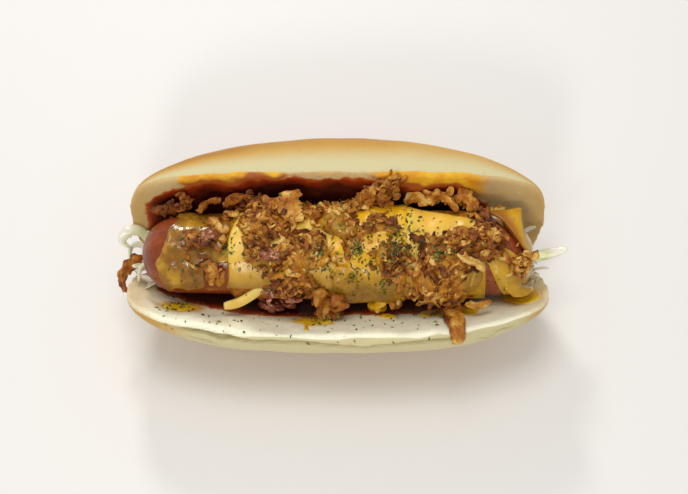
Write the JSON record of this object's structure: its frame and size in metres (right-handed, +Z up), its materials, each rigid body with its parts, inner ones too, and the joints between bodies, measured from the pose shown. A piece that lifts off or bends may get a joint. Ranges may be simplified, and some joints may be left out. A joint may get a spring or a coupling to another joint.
{
  "type": "hot dog",
  "caption": "Soft roll cut along one side and opened upwards round a thick sausage on shredded cabbage, under melted cheese slices, mustard and a heap of crisp fried onions.",
  "frame": {"origin": "middle of the roll's flat foot", "axes": "+X along the sausage, to the viewer's right; +Y towards the half of the roll that carries the browned dome; +Z up"},
  "size_m": [0.1732, 0.0862, 0.0657],
  "materials": {
    "bread": "soft crust, browned on the dome and at the noses",
    "sausage": "smooth skin, moist",
    "cabbage": "moist, pale",
    "cheese": "melted, satin",
    "onion": "crisp fried crust, slightly oily",
    "bacon": "fried, oily"
  },
  "bodies": {
    "root": {"bun": "bread", "sausage": "sausage", "cabbage": "cabbage", "cheese_left": "cheese", "cheese_middle": "cheese", "cheese_right": "cheese", "fried_onions": "onion", "onion_tail": "onion", "onion_curl": "onion", "bacon_bit": "bacon"}
  },
  "joints": []
}
